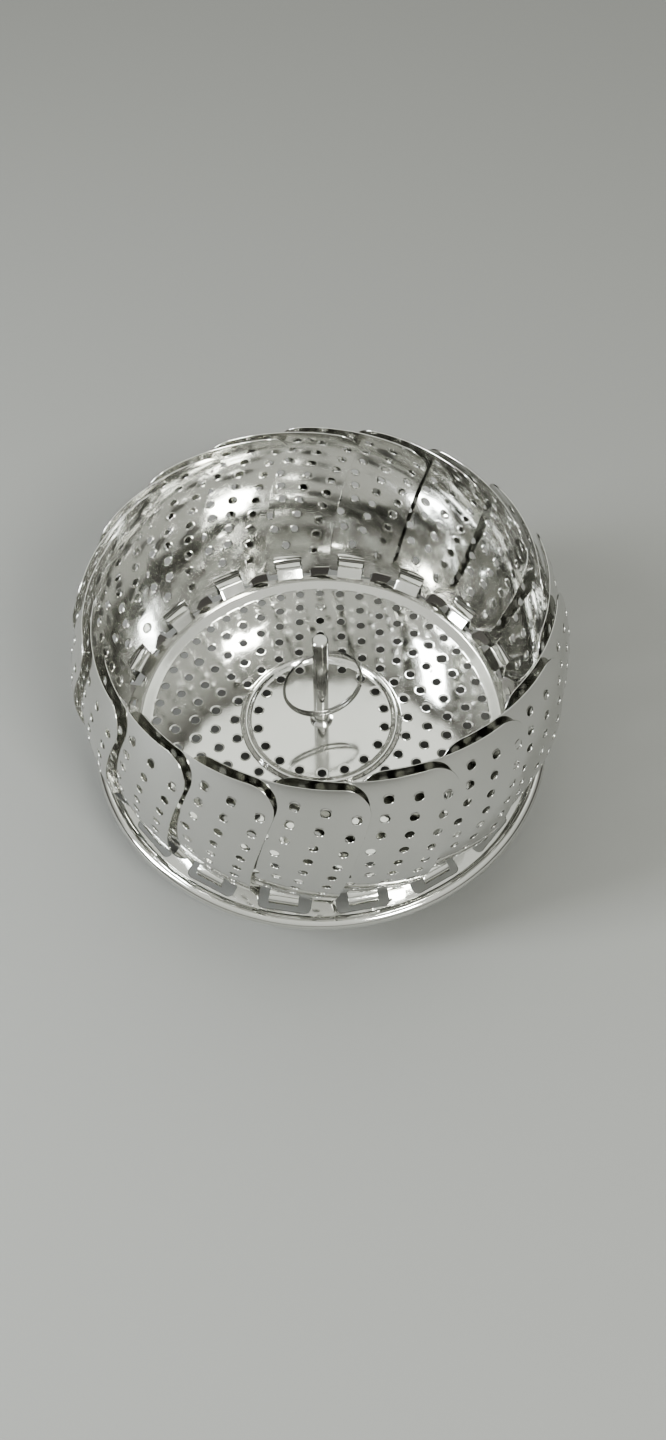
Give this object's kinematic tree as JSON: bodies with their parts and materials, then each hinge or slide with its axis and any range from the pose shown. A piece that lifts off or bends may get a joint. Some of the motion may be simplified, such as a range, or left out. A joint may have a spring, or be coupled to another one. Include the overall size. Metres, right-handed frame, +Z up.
{
  "type": "folding steamer basket",
  "caption": "Folding stainless-steel steamer basket: a perforated pan on folding legs, a ring of overlapping perforated petals hinged round its edge, and a post with a lift ring.",
  "frame": {"origin": "on the surface the feet stand on, under the basket's axis", "axes": "+Z up along the centre post; +X towards petal_01; -Y towards the side between legs 2 and 3"},
  "size_m": [0.1784, 0.1782, 0.1121],
  "materials": {
    "pan": "mirror-polished pressed stainless steel sheet",
    "petals": "mirror-polished rolled stainless steel sheet, slightly wavy, punched holes with burred rims",
    "post": "turned and polished stainless steel",
    "ring_wire": "drawn stainless steel wire, polished",
    "legs": "bent stainless steel sheet, mill finish",
    "rivets": "plain stainless steel"
  },
  "bodies": {
    "base": {"base_pan": "pan", "center_post": "post", "post_collar": "post", "post_nut": "post", "leg_bracket_1": "legs", "leg_pin_1": "rivets", "leg_rivet_1": "rivets", "leg_bracket_2": "legs", "leg_pin_2": "rivets", "leg_rivet_2": "rivets", "leg_bracket_3": "legs", "leg_pin_3": "rivets", "leg_rivet_3": "rivets"},
    "petal_01": {"petal_01": "petals"},
    "petal_02": {"petal_02": "petals"},
    "petal_03": {"petal_03": "petals"},
    "petal_04": {"petal_04": "petals"},
    "petal_05": {"petal_05": "petals"},
    "petal_06": {"petal_06": "petals"},
    "petal_07": {"petal_07": "petals"},
    "petal_08": {"petal_08": "petals"},
    "petal_09": {"petal_09": "petals"},
    "petal_10": {"petal_10": "petals"},
    "petal_11": {"petal_11": "petals"},
    "petal_12": {"petal_12": "petals"},
    "petal_13": {"petal_13": "petals"},
    "petal_14": {"petal_14": "petals"},
    "petal_15": {"petal_15": "petals"},
    "petal_16": {"petal_16": "petals"},
    "petal_17": {"petal_17": "petals"},
    "petal_18": {"petal_18": "petals"},
    "ring": {"lift_ring": "ring_wire"},
    "leg_1": {"leg_1": "legs"},
    "leg_2": {"leg_2": "legs"},
    "leg_3": {"leg_3": "legs"}
  },
  "joints": [
    {"name": "petal_01_fold", "type": "hinge", "parent": "base", "child": "petal_01", "pos_m": [0.0774, 0, 0.0351], "axis": [0, 1, 0], "range_deg": [-48, 60]},
    {"name": "petal_02_fold", "type": "hinge", "parent": "base", "child": "petal_02", "pos_m": [0.07273, 0.02647, 0.0351], "axis": [-0.342, 0.9397, 0], "range_deg": [-48, 60]},
    {"name": "petal_03_fold", "type": "hinge", "parent": "base", "child": "petal_03", "pos_m": [0.05929, 0.04975, 0.0351], "axis": [-0.6428, 0.766, 0], "range_deg": [-48, 60]},
    {"name": "petal_04_fold", "type": "hinge", "parent": "base", "child": "petal_04", "pos_m": [0.0387, 0.06703, 0.0351], "axis": [-0.866, 0.5, 0], "range_deg": [-48, 60]},
    {"name": "petal_05_fold", "type": "hinge", "parent": "base", "child": "petal_05", "pos_m": [0.01344, 0.07622, 0.0351], "axis": [-0.9848, 0.1736, 0], "range_deg": [-48, 60]},
    {"name": "petal_06_fold", "type": "hinge", "parent": "base", "child": "petal_06", "pos_m": [-0.01344, 0.07622, 0.0351], "axis": [-0.9848, -0.1736, 0], "range_deg": [-48, 60]},
    {"name": "petal_07_fold", "type": "hinge", "parent": "base", "child": "petal_07", "pos_m": [-0.0387, 0.06703, 0.0351], "axis": [-0.866, -0.5, 0], "range_deg": [-48, 60]},
    {"name": "petal_08_fold", "type": "hinge", "parent": "base", "child": "petal_08", "pos_m": [-0.05929, 0.04975, 0.0351], "axis": [-0.6428, -0.766, 0], "range_deg": [-48, 60]},
    {"name": "petal_09_fold", "type": "hinge", "parent": "base", "child": "petal_09", "pos_m": [-0.07273, 0.02647, 0.0351], "axis": [-0.342, -0.9397, 0], "range_deg": [-48, 60]},
    {"name": "petal_10_fold", "type": "hinge", "parent": "base", "child": "petal_10", "pos_m": [-0.0774, 0, 0.0351], "axis": [0, -1, 0], "range_deg": [-48, 60]},
    {"name": "petal_11_fold", "type": "hinge", "parent": "base", "child": "petal_11", "pos_m": [-0.07273, -0.02647, 0.0351], "axis": [0.342, -0.9397, 0], "range_deg": [-48, 60]},
    {"name": "petal_12_fold", "type": "hinge", "parent": "base", "child": "petal_12", "pos_m": [-0.05929, -0.04975, 0.0351], "axis": [0.6428, -0.766, 0], "range_deg": [-48, 60]},
    {"name": "petal_13_fold", "type": "hinge", "parent": "base", "child": "petal_13", "pos_m": [-0.0387, -0.06703, 0.0351], "axis": [0.866, -0.5, 0], "range_deg": [-48, 60]},
    {"name": "petal_14_fold", "type": "hinge", "parent": "base", "child": "petal_14", "pos_m": [-0.01344, -0.07622, 0.0351], "axis": [0.9848, -0.1736, 0], "range_deg": [-48, 60]},
    {"name": "petal_15_fold", "type": "hinge", "parent": "base", "child": "petal_15", "pos_m": [0.01344, -0.07622, 0.0351], "axis": [0.9848, 0.1736, 0], "range_deg": [-48, 60]},
    {"name": "petal_16_fold", "type": "hinge", "parent": "base", "child": "petal_16", "pos_m": [0.0387, -0.06703, 0.0351], "axis": [0.866, 0.5, 0], "range_deg": [-48, 60]},
    {"name": "petal_17_fold", "type": "hinge", "parent": "base", "child": "petal_17", "pos_m": [0.05929, -0.04975, 0.0351], "axis": [0.6428, 0.766, 0], "range_deg": [-48, 60]},
    {"name": "petal_18_fold", "type": "hinge", "parent": "base", "child": "petal_18", "pos_m": [0.07273, -0.02647, 0.0351], "axis": [0.342, 0.9397, 0], "range_deg": [-48, 60]},
    {"name": "ring_swing", "type": "hinge", "parent": "base", "child": "ring", "pos_m": [0, 0, 0.075], "axis": [-0.9659, -0.2588, 0], "range_deg": [0, 334]},
    {"name": "leg_1_fold", "type": "hinge", "parent": "base", "child": "leg_1", "pos_m": [0, 0.0616, 0.0284], "axis": [-1, 0, 0], "range_deg": [0, 92]},
    {"name": "leg_2_fold", "type": "hinge", "parent": "base", "child": "leg_2", "pos_m": [-0.05335, -0.0308, 0.0284], "axis": [0.5, -0.866, 0], "range_deg": [0, 92]},
    {"name": "leg_3_fold", "type": "hinge", "parent": "base", "child": "leg_3", "pos_m": [0.05335, -0.0308, 0.0284], "axis": [0.5, 0.866, 0], "range_deg": [0, 92]}
  ],
  "couplings": [
    {"joint": "petal_02_fold", "follows": "petal_01_fold", "ratio": 1},
    {"joint": "petal_03_fold", "follows": "petal_01_fold", "ratio": 1},
    {"joint": "petal_04_fold", "follows": "petal_01_fold", "ratio": 1},
    {"joint": "petal_05_fold", "follows": "petal_01_fold", "ratio": 1},
    {"joint": "petal_06_fold", "follows": "petal_01_fold", "ratio": 1},
    {"joint": "petal_07_fold", "follows": "petal_01_fold", "ratio": 1},
    {"joint": "petal_08_fold", "follows": "petal_01_fold", "ratio": 1},
    {"joint": "petal_09_fold", "follows": "petal_01_fold", "ratio": 1},
    {"joint": "petal_10_fold", "follows": "petal_01_fold", "ratio": 1},
    {"joint": "petal_11_fold", "follows": "petal_01_fold", "ratio": 1},
    {"joint": "petal_12_fold", "follows": "petal_01_fold", "ratio": 1},
    {"joint": "petal_13_fold", "follows": "petal_01_fold", "ratio": 1},
    {"joint": "petal_14_fold", "follows": "petal_01_fold", "ratio": 1},
    {"joint": "petal_15_fold", "follows": "petal_01_fold", "ratio": 1},
    {"joint": "petal_16_fold", "follows": "petal_01_fold", "ratio": 1},
    {"joint": "petal_17_fold", "follows": "petal_01_fold", "ratio": 1},
    {"joint": "petal_18_fold", "follows": "petal_01_fold", "ratio": 1}
  ]
}
